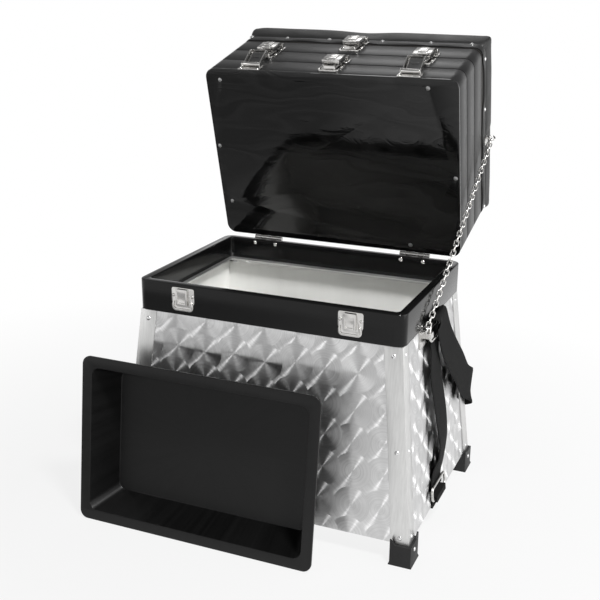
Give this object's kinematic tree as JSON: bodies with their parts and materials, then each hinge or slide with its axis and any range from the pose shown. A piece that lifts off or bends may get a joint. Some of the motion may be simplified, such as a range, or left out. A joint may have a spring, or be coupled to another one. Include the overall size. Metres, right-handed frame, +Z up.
{
  "type": "fishing seat box",
  "caption": "Fishing seat box: a tapered swirl-finished metal body with a black collar, and a hinged stack of bait levels under a padded seat.",
  "frame": {"origin": "on the ground, midway between the four feet", "axes": "+X to the right seen from the front, +Y to the rear where the hinges are, +Z up"},
  "size_m": [0.4695, 0.5368, 0.6466],
  "materials": {
    "body_sheet": "swirl-brushed bright sheet",
    "corner_angle": "plain satin angle",
    "collar_plastic": "gloss black moulding",
    "level_plastic": "satin black moulding",
    "board_plastic": "mirror-gloss black with faint wood grain",
    "tray_plastic": "satin black vacuum-formed",
    "foot_plastic": "matte black",
    "seat_vinyl": "black vinyl",
    "seat_wood": "plywood",
    "nickel": "nickel plate",
    "fastener": "plain metal",
    "webbing": "black woven webbing"
  },
  "bodies": {
    "box": {"collar": "collar_plastic", "collar_catches": "nickel", "collar_screws": "fastener", "corner_post_front_left": "corner_angle", "corner_post_front_right": "corner_angle", "corner_post_rear_left": "corner_angle", "corner_post_rear_right": "corner_angle", "floor_pan": "corner_angle", "foot_front_left": "foot_plastic", "foot_front_right": "foot_plastic", "foot_rear_left": "foot_plastic", "foot_rear_right": "foot_plastic", "foot_screws": "fastener", "front_panel": "body_sheet", "left_panel": "body_sheet", "main_hinge_lower_leaves": "nickel", "main_hinge_pins": "nickel", "post_rivets": "fastener", "rear_panel": "body_sheet", "right_panel": "body_sheet", "safety_chain": "nickel", "shoulder_strap": "webbing", "side_strap_left": "webbing", "side_strap_right": "webbing", "strap_brackets": "nickel", "strap_rings": "nickel", "strap_tabs": "webbing", "tray_ledge": "corner_angle"},
    "level_a": {"base_board": "board_plastic", "base_board_screws": "fastener", "catches_a": "nickel", "hasp_mounts_a": "nickel", "hinge_lower_leaves_a": "nickel", "level_a": "level_plastic", "main_hinge_upper_leaves": "nickel"},
    "level_b": {"catches_b": "nickel", "hasp_mounts_b": "nickel", "hinge_lower_leaves_b": "nickel", "hinge_upper_leaves_b": "nickel", "level_b": "level_plastic"},
    "level_c": {"catches_c": "nickel", "hasp_mounts_c": "nickel", "hinge_lower_leaves_c": "nickel", "hinge_upper_leaves_c": "nickel", "level_c": "level_plastic"},
    "seat": {"hasp_mounts_seat": "nickel", "hinge_upper_leaves_seat": "nickel", "seat_board": "seat_wood", "seat_chain_eye": "nickel", "seat_cover": "seat_vinyl", "seat_cushion": "seat_vinyl", "seat_nails": "fastener", "seat_riser": "seat_wood"},
    "hasp_a_left": {"hasp_a_left": "nickel"},
    "hasp_a_right": {"hasp_a_right": "nickel"},
    "hasp_b": {"hasp_b": "nickel"},
    "hasp_c_left": {"hasp_c_left": "nickel"},
    "hasp_c_right": {"hasp_c_right": "nickel"},
    "hasp_seat": {"hasp_seat": "nickel"},
    "insert_tray": {"insert_tray": "tray_plastic"}
  },
  "joints": [
    {"name": "stack_hinge", "type": "hinge", "parent": "box", "child": "level_a", "pos_m": [0, 0.1394, 0.33595], "axis": [1, 0, 0], "range_deg": [0, 75], "deforming": ["safety_chain"]},
    {"name": "level_b_hinge", "type": "hinge", "parent": "level_a", "child": "level_b", "pos_m": [0, 0.18, 0.34786], "axis": [-1, 0, 0], "range_deg": [0, 75]},
    {"name": "level_c_hinge", "type": "hinge", "parent": "level_b", "child": "level_c", "pos_m": [0, 0.22086, 0.35881], "axis": [-1, 0, 0], "range_deg": [0, 75]},
    {"name": "seat_hinge", "type": "hinge", "parent": "level_c", "child": "seat", "pos_m": [0, 0.26172, 0.36976], "axis": [-1, 0, 0], "range_deg": [0, 75]},
    {"name": "hasp_a_left_pivot", "type": "hinge", "parent": "level_a", "child": "hasp_a_left", "pos_m": [-0.12, 0.07934, 0.60859], "axis": [1, 0, 0], "range_deg": [0, 156]},
    {"name": "hasp_a_right_pivot", "type": "hinge", "parent": "level_a", "child": "hasp_a_right", "pos_m": [0.12, 0.07934, 0.60859], "axis": [1, 0, 0], "range_deg": [0, 156]},
    {"name": "hasp_b_pivot", "type": "hinge", "parent": "level_b", "child": "hasp_b", "pos_m": [0, 0.1202, 0.61954], "axis": [-1, 0, 0], "range_deg": [0, 150]},
    {"name": "hasp_c_left_pivot", "type": "hinge", "parent": "level_c", "child": "hasp_c_left", "pos_m": [-0.12, 0.16106, 0.63049], "axis": [-1, 0, 0], "range_deg": [0, 150]},
    {"name": "hasp_c_right_pivot", "type": "hinge", "parent": "level_c", "child": "hasp_c_right", "pos_m": [0.12, 0.16106, 0.63049], "axis": [-1, 0, 0], "range_deg": [0, 150]},
    {"name": "hasp_seat_pivot", "type": "hinge", "parent": "seat", "child": "hasp_seat", "pos_m": [0, 0.20191, 0.64144], "axis": [-1, 0, 0], "range_deg": [0, 150]},
    {"name": "insert_lift_off", "type": "slide", "parent": "box", "child": "insert_tray", "axis": [0, -1, 0], "range_m": [0, 0.25]}
  ]
}
